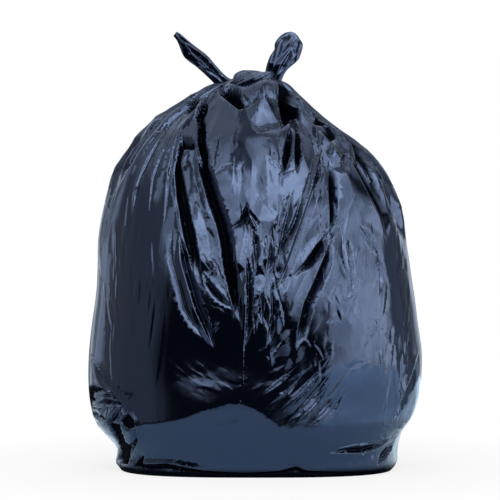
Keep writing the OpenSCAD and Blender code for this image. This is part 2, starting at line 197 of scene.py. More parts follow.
# Painted reflection: to glossy rays only, the floor glows blue close by, is dark farther out and
# glows blue again far out on the right, which the film mirrors.
NEAR, FAR = 0.55, 0.95
dark = start.node("BsdfDiffuse", Color=(0.01, 0.01, 0.01, 1))
darkness = (0.5 + 0.5 * away.step(NEAR, FAR)) * (1 - to_right.step(0.1, 0.6))
dimmed = start.node("MixShader", _0=glossy * darkness, _1=pale, _2=dark)
painted_blue_glow = start.node("Emission", Color=(0.62, 0.84, 1.0, 1), Strength=2.6)
close_by = 0.34 * (1 - away.step(NEAR, FAR))
far_right = (0.52 * away.step(0.4, 0.7) + 0.4 * away.step(0.9, 1.5)) * to_right.step(0.25, 0.6)
whole = start.node("MixShader", _0=glossy * (close_by + far_right), _1=dimmed, _2=painted_blue_glow)
start.node("OutputMaterial", _0=whole)
floor.data.materials.append(floor_finish)

BAG_MIDDLE = Vector((0, 0, 0.36))


def soft_box(name, place, size, power):
    """A wide lamp aimed at the middle of the bag. The film shows the studio instead of it."""
    lamp = bpy.data.lights.new(name, "AREA")
    lamp.shape = "RECTANGLE"
    lamp.size, lamp.size_y = size
    lamp.energy = power
    holder = bpy.data.objects.new(name, lamp)
    scene.collection.objects.link(holder)
    holder.location = place
    holder.rotation_euler = (BAG_MIDDLE - Vector(place)).to_track_quat("-Z", "Y").to_euler()
    holder.visible_camera = False
    holder.visible_glossy = False


soft_box("high_front_box", (0.1, -1.5, 2.0), (1.3, 0.9), 9)
soft_box("right_low_box", (1.9, -1.35, 0.55), (1.4, 1.0), 8)
soft_box("left_high_box", (-1.6, -1.3, 1.5), (1.0, 1.2), 6)
soft_box("back_box", (0.2, 2.0, 1.6), (1.8, 1.2), 10)

# Film: the bag itself, one tube of blown polythene about 30 micrometres thick, black with a
# blue sheen, welded across its bottom and filled. It hangs in pleats from the knot and creases
# where it is slack. Its mesh follows the folds, so that each crease is a clean line.
NECK_HEIGHT = 0.650
NECK_WIDTH = 0.072
FOOT_RADIUS = 0.009

belly_width = cad_high.x - cad_low.x
belly_depth = 0.370
foot_in = 2 * FOOT_RADIUS / belly_width
# Height as a share of the neck's, then half the width to the left, half the width to the right
# and half the depth, each as a share of the belly's.
OUTLINE = np.array([
    [0, 0.836 - foot_in, 0.850 - foot_in, 0.93 - foot_in],
    [FOOT_RADIUS / NECK_HEIGHT, 0.836, 0.850, 0.93],
    [0.050, 0.826, 0.857, 0.945],
    [0.094, 0.915, 0.882, 0.975],
    [0.135, 0.968, 0.945, 0.995],
    [0.200, 0.996, 0.988, 1.000],
    [0.290, 0.996, 1.000, 0.990],
    [0.375, 0.975, 0.972, 0.970],
    [0.460, 0.942, 0.946, 0.945],
    [0.606, 0.914, 0.893, 0.885],
    [0.745, 0.843, 0.796, 0.77],
    [0.837, 0.728, 0.614, 0.62],
    [0.900, 0.574, 0.410, 0.46],
    [0.962, 0.345, 0.252, 0.29],
    [0.985, 0.252, 0.198, 0.20],
    [1, NECK_WIDTH / belly_width, NECK_WIDTH / belly_width, 0.5 * NECK_WIDTH / belly_depth],
])


def ease(value):
    value = np.clip(value, 0, 1)
    return value * value * (3 - 2 * value)


def curve(table, column, at):
    """Smooth curve through the rows of a table, read at the places in at."""
    x, y = table[:, 0], table[:, column]
    slope = np.empty_like(y)
    slope[1:-1] = (y[2:] - y[:-2]) / (x[2:] - x[:-2])
    slope[0] = (y[1] - y[0]) / (x[1] - x[0])
    slope[-1] = (y[-1] - y[-2]) / (x[-1] - x[-2])
    row = np.clip(np.searchsorted(x, at, side="right") - 1, 0, len(x) - 2)
    run = x[row + 1] - x[row]
    t = np.clip((at - x[row]) / run, 0, 1)
    ends = y[row] * (1 + 2 * t) * (1 - t) ** 2 + y[row + 1] * t * t * (3 - 2 * t)
    return ends + run * t * (1 - t) * (slope[row] * (1 - t) - slope[row + 1] * t)


def walk(spans):
    """How far along a path its points are, from the lengths between them."""
    return np.concatenate([[0], np.cumsum(spans)])


def unit(rows):
    """The same directions, with a length of 1."""
    return rows / np.linalg.norm(rows, axis=1, keepdims=True)


def half_width(left, at):
    return belly_width / 2 * np.where(left, curve(OUTLINE, 1, at), curve(OUTLINE, 2, at))


def section_power(at):
    """How round the bag's section is: 1 for an ellipse, less where its corners are squarer."""
    return 2 / (2 + 0.3 * np.clip((0.74 - at) / 0.45, 0, 1) + 0.5 * ease((0.2 - at) / 0.2))


def skin(azimuth, at):
    """The bag without folds, at an azimuth from the front and a share of the neck's height."""
    power = section_power(at)
    side, face = np.sin(azimuth), np.cos(azimuth)
    x = half_width(side < 0, at) * np.sign(side) * np.abs(side) ** power
    y = -belly_depth / 2 * curve(OUTLINE, 3, at) * np.sign(face) * np.abs(face) ** power
    return np.stack([x, y, NECK_HEIGHT * at + 0 * x], axis=-1)


# Share of the way to the view's edge, or round to the line down the back, where folds stop.
EDGE_ON = 0.997


def azimuth_at(x, at):
    """Azimuth on the front half of the place that far right of the middle, in metres."""
    reach = np.clip(x / half_width(x < 0, at), -EDGE_ON, EDGE_ON)
    return np.arcsin(np.sign(reach) * np.abs(reach) ** (1 / section_power(at)))


# Film unrolled: millimetres round it from the front, and up along its side from the ground.
fine = np.linspace(0, 1, 4000)
mean_reach = belly_width / 2 * sum(curve(OUTLINE, k, fine) for k in (1, 2, 3)) / 3
film_up = 1000 * walk(np.hypot(np.diff(mean_reach), np.diff(fine) * NECK_HEIGHT))
HALF_GIRTH = 737.0
ROUND_PER_RADIAN = HALF_GIRTH / math.pi
PERCENT_ACROSS, PERCENT_UP = belly_width * 5, NECK_HEIGHT * 10

# Folds: width, height of the crest and depth of the valley in millimetres, then the points of the
# path, as percent of half the width from the middle and percent of the neck's height.
FRONT_FOLDS = [
    # deep fold from the knot down to the middle
    (11, 2, 14, -27, 98, -30.2, 95.9, -32.4, 93, -35.4, 90.1, -34.3, 87.9, -34.3, 84.1,
     -31.4, 78.6, -29, 74),
    (17, 1, 14, -35.1, 82, -33.1, 77, -30.8, 73.4, -27.4, 68.6, -22.8, 63.4, -20.4, 58.9, -19, 53.4,
     -15.5, 47, -12, 41),
    (-5, 2.5, 1.5, -13, 60, -12.2, 52, -12.2, 42),
    # left side of the bright strip beside it, its upper end and its point
    (-18, 5, 9, -43.4, 83, -43.4, 79.4, -40, 72.1, -35.4, 63.4, -34.2, 61.6, -31.2, 54.4, -30, 48),
    (8, 2, 8, -43.6, 88, -44.4, 84, -46.6, 79, -47.6, 76.5, -46, 69.8, -43, 63.4, -39, 56, -36, 51),
    (4, 3, 1, -45.4, 78.5, -43, 70.5, -41, 63.5),
    (16, 1, 10, -46.5, 81.7, -33.5, 82),
    (-10, 2, 8, -31, 52, -25, 49, -18, 45.5, -11, 42),
    # narrow fold under the strip's left side
    (11, 4, 8, -44, 61, -42.5, 54, -39, 48.5, -35, 42.5, -30, 37.5, -24, 32),
    (-7, 1, 5, -47.5, 62, -47, 54.5, -44, 50, -40, 42.5, -35, 39, -28, 34),
    # upright folds that run out in the middle
    (9, 2, 7, -5.5, 56, -5, 47, -5.5, 41, -6.5, 32),
    (-8, 1, 7, -11.5, 57, -10, 47, -8, 38),
    (9, 3, 6, 9, 48, 8.5, 41, 6, 32),
    (-7, 1, 5, 5.5, 48, 4.5, 38),
    (10, 1, 8, -5, 69, -9, 65, -15, 62),
    (8, 1, 6, -2, 62, 0, 52),
    (8, 1, 7, 8, 60, 6.5, 51),
    (4.5, 1, 2.8, -24, 75.4, -17, 77, -12, 78.4),
    # pleats of the left shoulder
    (-8, 3, 6, -45, 95, -53.2, 91.5, -67.6, 85.7, -73, 82.5),
    (9, 3, 6, -48, 93.5, -55.2, 91, -66.5, 85.2, -72.5, 81.4, -78.3, 77, -80, 73),
    (8, 2.5, 5, -60, 89, -69, 85.6, -76, 82.8, -81, 79, -83, 74),
    (10, 2, 9, -33, 98, -36, 96.5, -41, 92.7, -43, 90.5),
    (5, 2, 3, -41, 92.5, -44.6, 89.4, -52.1, 84.1, -57.2, 78.6, -60.1, 74.8, -62, 64),
    (4, 1.5, 2, -42, 90.5, -47, 84, -51, 77, -53, 62),
    (5.5, 2, 3, -40, 94.5, -50, 90, -61, 82, -68, 75, -73, 62),
    (5.5, 2, 3, -58, 91.5, -72, 85.5, -83, 76, -89, 62),
    (8, 3, 3, -15, 99, -22.5, 95.5),
    # open hem under the knot, with the hollow behind it
    (22, 2, 20, -25, 98.5, -21.5, 96, -9.5, 91.7, -5, 92.5, -1, 94),
    # hollow right of the middle, with an arched edge and two pockets under it
    (26, 3, 22, 9.5, 102, 12.5, 97, 13, 93, 14.5, 89.5, 15, 86.5),
    (-16, 4, 9, 13, 99, 19.8, 95.8, 25.1, 92, 27, 88.5, 31, 85),
    (5, 3, 1, 17, 87.5, 19.9, 88.9, 22.2, 90.6, 23.9, 90.4, 25.7, 88.4, 26.8, 85.3, 29.1, 83.4),
    (10, 1, 11, 22.5, 89.5, 19, 86.6, 17, 83, 15.6, 79.4, 16, 74.5),
    (10, 1, 12, 24.2, 90, 23.2, 86, 22.8, 82.5, 22.8, 79.4, 24.2, 75.5),
    (4, 1.5, 2, 13, 79.4, 16.4, 75.5, 23.9, 77.2),
    (7, 1.5, 4, 33, 93.5, 34.2, 91.8, 36.5, 85.6, 37.5, 82),
    (7, 2, 4, 33, 86, 34, 82, 35.4, 77, 31, 70),
    # long straight pleats of the right shoulder
    (22, 3.5, 8, 38, 92, 44, 88.7, 55, 83.2, 57.8, 78.1, 62.4, 74.1, 72.2, 65, 76, 60),
    (7, 2.5, 5, 46, 87, 49.2, 85.1, 56.1, 82.7, 63.6, 77.9, 68, 74),
    (6, 2, 5, 60, 84, 61.8, 82, 64.7, 77.9, 71, 71.9, 75, 68),
    (-9, 3, 5, 36, 92, 49, 88, 63, 83.4, 69.8, 80, 78.5, 73.6, 86, 66.2, 90, 58),
    (8, 2, 6, 66, 80, 73, 74, 79, 67),
    (8, 3, 4, 61, 63, 72, 55),
    (7, 2, 5, 71.5, 57, 71.5, 45),
    (7, 2, 5, 53, 62, 55.5, 46),
    # ridges that run down to the middle, and the upright edge beside them
    (11, 5, 5, 40, 83, 32, 72, 24.5, 62.5, 17.5, 54, 11.5, 47),
    (9, 3, 4, 27, 71, 20.5, 63.5, 11, 56),
    (8, 2, 4, 21, 72, 15, 62, 11, 52),
    (13, 4, 13, 43.4, 80, 42.6, 72.2, 43, 65, 43.5, 60),
    # dark break under them, then the strong ridge
    (12, 3, 10, 45, 63, 35.5, 58.5, 29, 54.5, 20, 50),
    (14, 6, 9, 46, 60.5, 39.5, 55.5, 33.5, 49.5, 27.5, 44, 24.5, 38.5, 23, 32),
    # slanting folds over the lower right front
    (4.5, 0.8, 1.2, 46, 28, 38, 23.5, 27, 17.5, 17, 13.5),
    (3.5, 0.7, 1.0, 44, 24.5, 36, 20, 25, 14.5),
    (4, 0.8, 1.2, 49, 22, 41, 17.5, 31, 13),
    (3, 0.6, 0.9, 37, 27.5, 27, 22.5, 15, 17.5),
    (3.5, 0.6, 0.8, 29, 27, 19, 22, 6, 18),
    (3, 0.6, 0.8, 25, 28.5, 14, 24.5, 2, 20.5),
    (3, 0.6, 0.9, 41, 29.5, 33, 24, 22, 19),
    (3, 0.5, 0.8, 54, 24, 46, 18, 37, 13.5),
    # top of the smooth bottom panel
    (-60, 2.5, 0, -80, 12, -60, 13.2, -42, 15, -32, 16.8, -24, 18, -16, 18.9, -9, 19, -2, 18, 6, 15.8,
     15, 12.5, 30, 10.5, 50, 8),
    # edge that the bag stands on, tucked under
    (-11, 1, 9, -77, 1.2, -66, 3, -52, 3.6, -30, 2, -6, 1.4, 14, 2, 24, 3.2, 30, 2, 60, 1.3, 77, 1.2),
    # bottom corners, pushed in where the flat seam turns under
    (-9, 3, 8, -99.3, 30.5, -80.6, 19.9, -69.7, 14.1, -67.7, 9, -72, 5, -76.6, 1),
    (7, 2, 7, -97, 16.6, -88, 17.6, -77, 17.8),
    (5, 1.5, 5, -96, 19.2, -86, 19.4, -79, 18.4),
    (9, 2, 8, -78.5, 18, -84, 15.5, -90, 12),
    (7, 1.5, 6, -98, 14.6, -92, 13),
    (5, 4, 1, -86, 4.6, -77, 6),
    (9, 2, 9, 42, 6.1, 51.6, 6, 63, 5.9, 70, 6.6, 82, 9),
    (4, 2, 1.5, 46, 7.2, 58, 7.8, 73, 8, 81, 10.8),
    (9, 2, 8, 71.8, 2.3, 80.8, 5.6, 84, 8),
    (8, 2.5, 4, 97, 22, 94, 16, 91, 13.5, 86.8, 11.8, 81.3, 8.3, 78.3, 6.6),
    (12, 3, 4, 97, 31, 90, 23.4, 84, 17.9, 80, 13),
    # crease left down the middle where the flat film was folded
    (5, 0.6, 0.35, 1.2, 88, -2, 75.5, -7, 37, -7, 1),
]
BACK_FOLDS = [
    # deep pleats that fan out from the neck
    (28, 4, 11, -9, 97, -14, 90, -18, 84, -20.5, 74.5, -21, 55),
    (26, 4, 9, -17, 97, -27, 90, -34, 84, -38.5, 74.5, -41, 60),
    (26, 3, 8, -25, 96, -39, 90, -50, 84, -57, 74.5, -60, 60),
    (26, 4, 10, 4, 97, 7, 90, 9.5, 84, 11.5, 74.5, 12, 58),
    (24, 4, 9, 11, 97, 17, 90, 23, 84, 28, 74.5, 30, 62),
    (28, 4, 10, 18, 96, 28, 90, 38, 84, 46, 74.5, 50, 60),
    (24, 3, 7, 25, 96, 37, 90, 50.5, 84, 61, 74.5, 67, 62),
    # upright folds lower down
    (24, 3, 6, -30, 56, -30, 44, -28, 30),
    (24, 3, 6, 36, 56, 37, 42, 36, 28),
    (22, 2, 5, 6, 50, 6, 36, 5, 24),
    (22, 2, 5, -62, 52, -63, 38, -62, 22),
    (22, 2, 5, 64, 50, 65, 36, 64, 21),
    # bottom panel and corners
    (50, 3, 0, -74, 13, -30, 17, 0, 18, 34, 16, 70, 12),
    (-20, 3, 8, -96, 30, -82, 16, -74, 2),
    (20, 3, 8, 95, 30, 82, 16, 76, 2),
    # crease left down the middle where the flat film was folded
    (4, 1.2, 0.6, 3, 90, 1, 60, -2, 30, -1, 1),
]
# Broad bulges and hollows where the contents press: x, height, half width and half height in
# percent, and rise in millimetres.
FRONT_LUMPS = [
    (-62, 52, 60, 26, 8), (60, 40, 55, 24, 7), (-4, 17, 70, 20, 1), (-6, 80, 30, 16, 6),
    (7, 98, 15, 7, 12), (-2, 45, 38, 19, 8), (-24, 44, 14, 18, 2), (-34, 30, 30, 13, -4),
    (30, 66, 24, 10, 4), (-92, 5, 26, 9, -7), (90, 5, 22, 8, -4),
]
BACK_LUMPS = [(-50, 44, 55, 24, 8), (52, 56, 50, 22, 7), (0, 30, 60, 26, 6), (8, 70, 34, 16, -7)]

rng = np.random.default_rng(11)


def scattered(count, x, h, wide, tall, lean, spread, length, width, rise):
    """Rows of small folds strewn over an oval of the view."""
    rows = []
    for _ in range(count):
        turn, far = rng.uniform(0, 2 * math.pi), math.sqrt(rng.uniform(0, 1))
        angle = math.radians(lean + rng.uniform(-spread, spread))
        half = 0.5 * length * rng.uniform(0.5, 1.5)
        run_x, run_h = half * math.sin(angle) / PERCENT_ACROSS, half * math.cos(angle) / PERCENT_UP
        at_x, at_h = x + wide * far * math.cos(turn), h + tall * far * math.sin(turn)
        flip = 1 if rng.uniform() < 0.5 else -1
        high = rise * rng.uniform(0.4, 1.4)
        across = flip * width * rng.uniform(0.7, 1.4)
        sway = rng.uniform(-0.3, 0.3)
        rows.append((across, high, 0.8 * high, at_x + run_x, at_h + run_h, at_x, at_h + sway,
                     at_x - run_x, at_h - run_h))
    return rows


# Small folds: how many, x, height, half width and half height of their oval in percent, lean in
# degrees clockwise from upright and how far it strays, then length, width and rise of a fold in
# millimetres.
FRONT_CREASES = [
    # crumpled middle, and the bright strip left of it
    (10, 3, 58, 19, 11, 5, 40, 54, 7, 1.6),
    (16, 3, 46, 17, 9, 0, 25, 46, 6, 1.8),
    (16, 4, 74, 18, 8, 0, 60, 34, 6, 0.5),
    (20, -31, 60, 7, 13, -15, 60, 16, 4, 0.35),
    (20, -22, 46, 8, 8, -20, 60, 18, 3.5, 0.8),
    # sparse creases of the dark part under it, and slanting wrinkles of the lower right
    (8, 8, 37, 12, 8, 15, 40, 30, 3.5, 1.4),
    (20, 50, 36, 20, 13, 20, 60, 30, 5, 0.4),
    (24, 50, 54, 24, 14, 5, 25, 60, 7, 0.6),
    # left panel, bottom panel and right edge
    (22, -64, 52, 14, 26, 4, 8, 110, 7, 0.4),
    (12, -16, 9, 46, 5, 60, 40, 90, 14, 0.2),
    (40, 80, 40, 12, 26, 0, 10, 60, 6, 0.6),
    (30, -84, 40, 8, 28, 0, 8, 70, 6, 0.5),
    # bottom corners
    (10, -86, 11, 11, 8, 0, 90, 26, 6, 1.6),
    (10, 84, 8, 11, 7, 60, 60, 24, 6, 1.6),
    (8, -60, 2.5, 20, 2, 80, 30, 26, 4, 0.1),
]
# Crumpled patches: x, height, half width and half height in percent, spacing and height of the
# facets' corners in millimetres, how much longer than wide the facets are, and their lean in
# degrees clockwise from upright.
FRONT_CRUMPLES = [
    (3, 55, 25, 18, 18, 3.6, 1.5, 0),
    (-29, 62, 9, 19, 9, 0.9, 1.8, -15),
    (32, 66, 14, 16, 15, 1.4, 3, 20),
    (50, 44, 26, 22, 18, 1, 1.8, 8),
    (16, 34, 20, 9, 14, 1.4, 1.6, 20),
    (-40, 28, 14, 6, 8, 0.45, 2.6, -55),
    (-26, 24, 16, 5, 8, 0.40, 2.6, -65),
    (4, 28, 14, 6, 8, 0.35, 2.2, 60),
    (20, 20, 26, 9, 9, 0.55, 5, 50),
    (38, 20, 18, 9, 8, 0.45, 4, 35),
    (-84, 10, 13, 9, 20, 2.2, 1, 0),
    (86, 8, 12, 8, 18, 2.5, 1, 0),
]
# Film held in flat facets, each by its corners: x and height in percent, and rise in millimetres.
PANELS = [
    # hem folded over under the knot's right end
    [(-7.2, 96.4, 0), (2, 97.5, 0), (10.5, 99, 0), (13.5, 94, -1), (4.8, 94.6, -4), (14.8, 89.8, -5),
     (-5.8, 92.7, -3), (-5.4, 92.1, 0), (4.8, 93.9, 12), (13.8, 89.3, -4), (12, 87.3, -3), (1.8, 88, -4),
     (1.6, 87.3, -5), (12.4, 86.6, -1.5), (1.4, 85.8, 0), (12.6, 85, 0), (-3, 89.5, 0), (16.5, 88, -3)],
    # small facets of the right shoulder
    [(44.4, 83.4, 0), (48.6, 84.1, 2), (52.2, 81, 2), (45, 80.6, 4), (47.4, 78.4, 0), (43.8, 79.6, 0),
     (52.8, 79.6, -5), (54, 78.1, -5), (56.4, 77.4, 0), (52.2, 75.1, 1), (46.2, 77.7, -1), (54.6, 81.6, 0)],
]
# Pockets: corners of the mouth, then of the bottom, which is that many millimetres in. The film
# goes in further than its mesh, so a pocket's painted shade is as if it were that many times as deep.
POCKET_DEPTH, POCKET_SHADE = 5, 3
POCKETS = [
    # left bottom corner, the fold over its upper end, and the tuck beside it
    ([(-85.8, 13.1), (-79.2, 12.9), (-78.3, 10.4), (-76.8, 8.1), (-73.2, 7.4), (-74.4, 4.9),
      (-75.6, 2.2), (-79.8, 2), (-83.7, 2.4), (-82.5, 5.6), (-82.2, 7.4), (-84.6, 10.4)],
     [(-85, 12.7), (-79.9, 12.5), (-79.1, 10.3), (-77.6, 7.9), (-74.1, 7), (-75.2, 4.8),
      (-76.3, 2.6), (-79.8, 2.4), (-82.8, 2.8), (-81.7, 5.6), (-81.4, 7.4), (-83.8, 10.3)]),
    ([(-79.3, 13.4), (-75.6, 15.6), (-73.3, 15.5), (-70.2, 12.8), (-72, 11.8), (-74.7, 11.6),
      (-77.4, 12.4)],
     [(-78.3, 13.4), (-75.3, 15.1), (-73.6, 15), (-71.1, 12.8), (-72.2, 12.2), (-74.7, 12),
      (-77, 12.8)]),
    ([(-72.6, 2.1), (-65.4, 5.4), (-65.2, 2.2)], [(-71.2, 2.4), (-66, 4.7), (-65.9, 2.5)]),
    # dark wedge of the right shoulder
    ([(35.4, 91.1), (38.7, 90.6), (44, 87.8), (48.8, 85.1), (46.2, 84.6), (44.6, 84.4),
      (39.2, 88.2), (36.6, 88.9)],
     [(36.1, 90.7), (38.6, 90.2), (43.8, 87.5), (47.8, 85.2), (46.1, 84.9), (44.8, 84.8),
      (39.5, 88.6), (37, 89.2)]),
]
BACK_CRUMPLES = [
    (-30, 46, 50, 30, 34, 2.6, 2, 5),
    (40, 40, 46, 34, 34, 2.6, 2, -8),
    (0, 76, 50, 14, 28, 1.6, 2.5, 0),
    (-84, 12, 16, 12, 19, 3, 1, 0),
    (84, 12, 16, 12, 19, 3, 1, 0),
]
BACK_CREASES = [
    (40, -20, 44, 50, 24, 15, 40, 40, 5, 1),
    (40, 36, 56, 44, 24, -15, 40, 40, 5, 1),
    (30, 0, 24, 70, 12, 40, 60, 32, 5, 0.8),
    (24, -82, 10, 14, 8, 0, 90, 24, 6, 2),
    (24, 82, 10, 14, 8, 0, 90, 24, 6, 2),
]
front_creases = [row for oval in FRONT_CREASES for row in scattered(*oval)]
back_creases = [row for oval in BACK_CREASES for row in scattered(*oval)]

# Places across a fold, as shares of its width from the crest: the valley, and the film behind it.
VALLEY_AT, FOOT_AT = 0.45, 1.4
# Width of a fold at its ends, as a share of its width in the middle.
TAPER = 0.3
# Sizes of folds, and of the ridges between facets, in millimetres.
CREST_RADIUS = 1.3
BROAD_FOLD, DEEP_VALLEY = 6.5, 5
LINE_STEP = 5.4
LONGEST_FADE = 45
RIDGE_RADIUS, RIDGE_STEP = 0.8, 6
# How far the corners of crumpled film stray from an even grid, as a share of its spacing.
STRAY = 0.36


def close_to(corners, reach, x, z):
    """Numbers of the places that lie in the box round the corners, or within reach of it."""
    low, high = corners.min(0) - reach, corners.max(0) + reach
    return np.flatnonzero((x > low[0]) & (x < high[0]) & (z > low[1]) & (z < high[1]))


class Fold:
    """A crest and the valley beside it, along a path in the view, in millimetres.

    The film climbs to the crest and drops steeply behind it into the valley, on the right or upper
    side of a path that starts at its upper or left end, or on the other if the width is negative.
    """

    def __init__(self, back, row, scale=(PERCENT_ACROSS, PERCENT_UP)):
        self.back = back
        self.width, self.crest, self.valley = row[:3]
        self.points = np.array(row[3:], float).reshape(-1, 2) * scale
        self.walked = walk(np.linalg.norm(np.diff(self.points, axis=0), axis=1))

    def swell(self, walked):
        """Share of its full size that the fold has at a distance along it: it runs out at its ends."""
        total = self.walked[-1]
        fade = min(LONGEST_FADE, 0.4 * total) if abs(self.width) > BROAD_FOLD else 0.48 * total
        return ease(walked / fade) * ease((total - walked) / fade)

    def lines(self):
        """Lines that the mesh follows: the feet of the fold, its crest and its valley."""
        length = self.walked[-1]
        at = np.linspace(0, length, max(3, int(length / LINE_STEP) + 1))
        taper = TAPER + (1 - TAPER) * self.swell(at)[:, None]
        middle = np.stack([np.interp(at, self.walked, self.points[:, k]) for k in (0, 1)], 1)
        heading = unit(np.gradient(middle, axis=0))
        aside = np.stack([-heading[:, 1], heading[:, 0]], 1)
        way, width = math.copysign(1, self.width), abs(self.width)
        valley = VALLEY_AT * width
        broad = width > BROAD_FOLD
        offsets = [(-width, broad), (0, True), (valley, True), (FOOT_AT * width, broad)]
        if self.valley > DEEP_VALLEY:
            offsets += [(0.75 * width, False), (1.05 * width, False)]
        if broad:
            radius = max(CREST_RADIUS, 0.1 * width)
            rounding = (-radius, radius, valley - radius, valley + radius, -0.5 * width)
            offsets += [(offset, False) for offset in rounding]
        return [(middle + way * offset * taper * aside, joined) for offset, joined in offsets]

    def rise(self, x, z):
        """Height in millimetres that the fold gives the film at places in the view."""
        close = close_to(self.points, FOOT_AT * abs(self.width), x, z)
        x, z = x[close], z[close]
        closest = np.full(x.shape, 1e9)
        side, walked = np.zeros(x.shape), np.zeros(x.shape)
        for first, second, done in zip(self.points[:-1], self.points[1:], self.walked):
            run_x, run_z = second - first
            length = math.hypot(run_x, run_z)
            t = np.clip(((x - first[0]) * run_x + (z - first[1]) * run_z) / length ** 2, 0, 1)
            off_x, off_z = x - first[0] - t * run_x, z - first[1] - t * run_z
            gap = np.hypot(off_x, off_z)
            nearer = gap < closest
            closest = np.where(nearer, gap, closest)
            side = np.where(nearer, np.sign(run_x * off_z - run_z * off_x), side)
            walked = np.where(nearer, done + t * length, walked)
        swell = self.swell(walked)
        u = closest * side / self.width / (TAPER + (1 - TAPER) * swell)
        climb = self.crest * np.clip(1 + u, 0, 1) ** 1.2
        drop = self.crest - (self.crest + self.valley) * u / VALLEY_AT
        back = np.minimum(0, -self.valley * (FOOT_AT - u) / (FOOT_AT - VALLEY_AT))
        shape = np.where(u < 0, climb, np.where(u < VALLEY_AT, drop, back))
        return close, shape * swell


class Facets:
    """Film that is flat between corners in the view, which stand at heights in millimetres."""

    def __init__(self, back, corners, heights):
        self.back, self.corners, self.heights = back, corners, heights
        made = delaunay_2d_cdt([Vector(corner) for corner in corners], [], [], 0, 0.001)
        self.edges, self.facets = made[1:3]

    def lines(self):
        """Lines that the mesh follows: every ridge, and one close to it on each side."""
        made = []
        for first, second in self.edges:
            if self.heights[first] == 0 and self.heights[second] == 0:
                continue
            start, end = self.corners[first], self.corners[second]
            heading = (end - start) / np.linalg.norm(end - start)
            aside = RIDGE_RADIUS * np.array([-heading[1], heading[0]])
            count = max(2, int(np.linalg.norm(end - start) / RIDGE_STEP) + 1)
            line = start + np.linspace(0, 1, count)[:, None] * (end - start)
            inner = line[1:-1] if count > 2 else 0.5 * (line[:1] + line[1:])
            made += [(line, True), (inner + aside, False), (inner - aside, False)]
        return made

    def rise(self, x, z):
        """Height in millimetres that the facets give the film at places in the view."""
        close = close_to(self.corners, 0, x, z)
        at = np.stack([x[close], z[close]], 1)
        shape = np.zeros(len(close))
        for facet in self.facets:
            first, second, third = self.heights[list(facet)]
            if first == second == third == 0:
                continue
            one, two, three = self.corners[list(facet)]
            across, up, place = two - one, three - one, at - one
            area = across[0] * up[1] - across[1] * up[0]
            u = (place[:, 0] * up[1] - place[:, 1] * up[0]) / area
            v = (across[0] * place[:, 1] - across[1] * place[:, 0]) / area
            inside = (u >= -1e-6) & (v >= -1e-6) & (u + v <= 1 + 1e-6)
            shape[inside] = (first + u * (second - first) + v * (third - first))[inside]
        return close, shape


def panel(rows):
    """Facets on the front of the bag, from rows of x, height and rise."""
    rows = np.array(rows, float)
    return Facets(False, rows[:, :2] * (PERCENT_ACROSS, PERCENT_UP), rows[:, 2])


def pocket(mouth, bottom):
    return panel([(x, h, 0) for x, h in mouth] + [(x, h, -POCKET_DEPTH) for x, h in bottom])


def crumpled(back, x, h, wide, tall, spacing, height, stretch, lean):
    """Crumpled film: facets between corners at random heights, over an oval of the view."""
    reach = np.array([wide * PERCENT_ACROSS, tall * PERCENT_UP])
    columns, rows = math.ceil(reach.max() / spacing), math.ceil(reach.max() / spacing / stretch)
    corners = [(i + 0.5 * (j % 2), j) for j in range(-rows, rows + 1) for i in range(-columns, columns + 1)]
    corners = np.array(corners) + rng.uniform(-STRAY, STRAY, (len(corners), 2))
    made = Facets(back, corners, height * rng.uniform(-1, 1, len(corners)))
    sine, cosine = math.sin(math.radians(lean)), math.cos(math.radians(lean))
    corners = corners * spacing * (1, stretch) @ np.array([[cosine, -sine], [sine, cosine]])
    made.heights *= ease(2.2 * (1 - np.linalg.norm(corners / reach, axis=1)))
    made.corners = corners + (x * PERCENT_ACROSS, h * PERCENT_UP)
    return made


pockets = [pocket(*row) for row in POCKETS]
large_folds = [Fold(False, row) for row in FRONT_FOLDS] + [panel(rows) for rows in PANELS] + pockets
small_folds = [Fold(False, row) for row in front_creases]
small_folds += [crumpled(False, *row) for row in FRONT_CRUMPLES]
back_folds = [Fold(True, row) for row in BACK_FOLDS + back_creases]
back_folds += [crumpled(True, *row) for row in BACK_CRUMPLES]

# Points and edges of the mesh on the unrolled film. Lines of folds stop a little inside the neck,
# the ground and the view's edges.
places, joins = [], []
LOWEST, HIGHEST, WIDEST = 0.004, 0.996, 0.99


def add_line(rounds, ups, joined):
    first = len(places)
    places.extend(zip(rounds, ups))
    if joined:
        joins.extend((first + i, first + i + 1) for i in range(len(rounds) - 1)
                     if abs(rounds[i + 1] - rounds[i]) < HALF_GIRTH)


for fold in large_folds + small_folds + back_folds:
    for line, joined in fold.lines():
        x, at = line[:, 0] / 1000, line[:, 1] / 1000 / NECK_HEIGHT
        kept = (at > LOWEST) & (at < HIGHEST) & (np.abs(x) < half_width(x < 0, at) * WIDEST)
        for run in np.split(np.arange(len(x)), np.flatnonzero(np.diff(kept)) + 1):
            if not kept[run[0]]:
                continue
            turned = azimuth_at(x[run], at[run])
            if fold.back:
                turned = np.where(x[run] < 0, -math.pi, math.pi) - turned
            turned = np.clip(turned, -EDGE_ON * math.pi, EDGE_ON * math.pi)
            add_line(turned * ROUND_PER_RADIAN, np.interp(at[run], fine, film_up), joined)

